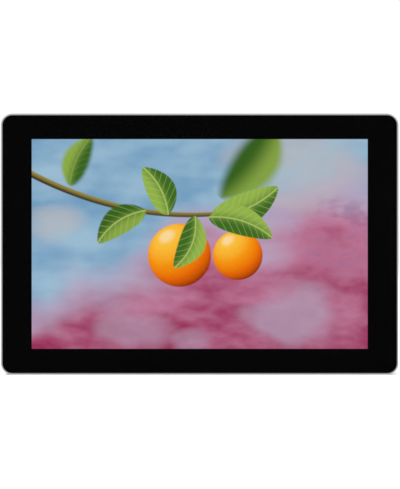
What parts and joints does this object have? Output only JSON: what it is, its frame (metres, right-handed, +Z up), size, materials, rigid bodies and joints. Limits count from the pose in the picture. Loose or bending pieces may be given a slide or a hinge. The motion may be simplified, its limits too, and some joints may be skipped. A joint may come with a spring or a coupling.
{
  "type": "camera field monitor",
  "caption": "On-camera field monitor: flat black glass in a thin bevelled metal frame, with rear grilles, a battery slide plate, side connector bays and mounting threads.",
  "frame": {"origin": "middle of the standing face, under the centre of the bounding box", "axes": "+Z up, the display faces -Y, +X to the right as seen from the front"},
  "size_m": [0.178, 0.033, 0.117],
  "materials": {
    "black_glass": "flush black cover glass over a lit display",
    "black_foam": "matt foam tape",
    "touch_film": "clear laminated sensor",
    "lcd_cell": "polarised cell",
    "white_film": "diffusing film stack",
    "clear_acrylic": "polished acrylic",
    "led_strip": "LED strip",
    "white_moulding": "white moulding",
    "pressed_steel": "pressed sheet",
    "anodised_frame": "dark anodised with a bright cut bevel",
    "bare_aluminium": "milled plate",
    "anodised_housing": "black anodised, fine blasted",
    "anodised_cover": "black anodised, fine blasted",
    "stainless_insert": "stainless",
    "black_screw": "black oxide",
    "circuit_board": "solder mask",
    "brass": "turned brass",
    "steel_screw": "zinc plated",
    "black_chip": "moulded chips",
    "tin_plate": "tinned sheet",
    "thermal_pad": "soft pad",
    "black_plastic": "moulded",
    "copper_winding": "wound copper",
    "red_wire": "insulated wire",
    "amber_ribbon": "polyimide",
    "red_button": "anodised red",
    "black_button": "anodised black",
    "light_pipe": "clear light pipe",
    "nickel": "nickel plated",
    "white_insulator": "fluoroplastic",
    "gold_contact": "gold plated",
    "battery_plastic": "textured moulding",
    "latch_plastic": "smooth moulding",
    "spring_steel": "spring steel"
  },
  "bodies": {
    "monitor": {"cover_glass": "black_glass", "glass_gasket": "black_foam", "touch_sensor": "touch_film", "lcd_panel": "lcd_cell", "optical_films": "white_film", "light_guide": "clear_acrylic", "led_light_bar": "led_strip", "panel_frame": "white_moulding", "backlight_tray": "pressed_steel", "front_chassis": "anodised_frame", "mid_plate": "bare_aluminium", "main_housing": "anodised_housing", "mount_blocks": "anodised_housing", "rear_cover": "anodised_cover", "thread_inserts": "stainless_insert", "frame_screws": "black_screw", "cover_screws": "black_screw", "main_board": "circuit_board", "board_standoffs": "brass", "board_screws": "steel_screw", "board_components": "black_chip", "shield_cans": "tin_plate", "processor": "black_chip", "thermal_pad": "thermal_pad", "heat_sink": "bare_aluminium", "heat_sink_screws": "steel_screw", "fan_frame": "black_plastic", "fan_stator": "copper_winding", "fan_screws": "steel_screw", "fan_lead": "red_wire", "display_ribbon": "amber_ribbon", "touch_ribbon": "amber_ribbon", "switch_boards": "circuit_board", "button_switches": "black_chip", "status_light": "light_pipe", "bnc_bodies": "nickel", "bnc_insulators": "white_insulator", "bnc_contacts": "gold_contact", "bnc_nuts": "nickel", "hdmi_shells": "tin_plate", "hdmi_tongues": "black_plastic", "usb_shell": "tin_plate", "usb_tongue": "black_plastic", "headphone_jack": "black_plastic", "round_shells": "nickel", "round_inserts": "black_plastic", "round_contacts": "gold_contact", "round_nuts": "nickel", "battery_plate": "battery_plastic", "terminal_block": "black_plastic", "battery_contacts": "gold_contact", "latch_spring": "spring_steel", "plate_screws": "steel_screw", "battery_lead": "red_wire"},
    "fan_rotor": {"fan_rotor": "black_plastic"},
    "power_button": {"power_button": "red_button"},
    "back_button": {"back_button": "black_button"},
    "battery_latch": {"battery_latch": "latch_plastic"}
  },
  "joints": [
    {"name": "power_button_press", "type": "slide", "parent": "monitor", "child": "power_button", "axis": [0, 0, -1], "range_m": [0, 0.0006], "stiffness_N_per_m": 1500, "springref_m": -0.0004},
    {"name": "back_button_press", "type": "slide", "parent": "monitor", "child": "back_button", "axis": [0, 0, -1], "range_m": [0, 0.0006], "stiffness_N_per_m": 1500, "springref_m": -0.0004},
    {"name": "battery_latch_press", "type": "slide", "parent": "monitor", "child": "battery_latch", "axis": [0, -1, 0], "range_m": [0, 0.0016], "stiffness_N_per_m": 800, "springref_m": -0.001, "deforming": ["latch_spring"]},
    {"name": "fan_spin", "type": "hinge", "parent": "monitor", "child": "fan_rotor", "pos_m": [-0.0445, 0.0025, 0.0585], "axis": [0, 1, 0], "continuous": true}
  ]
}
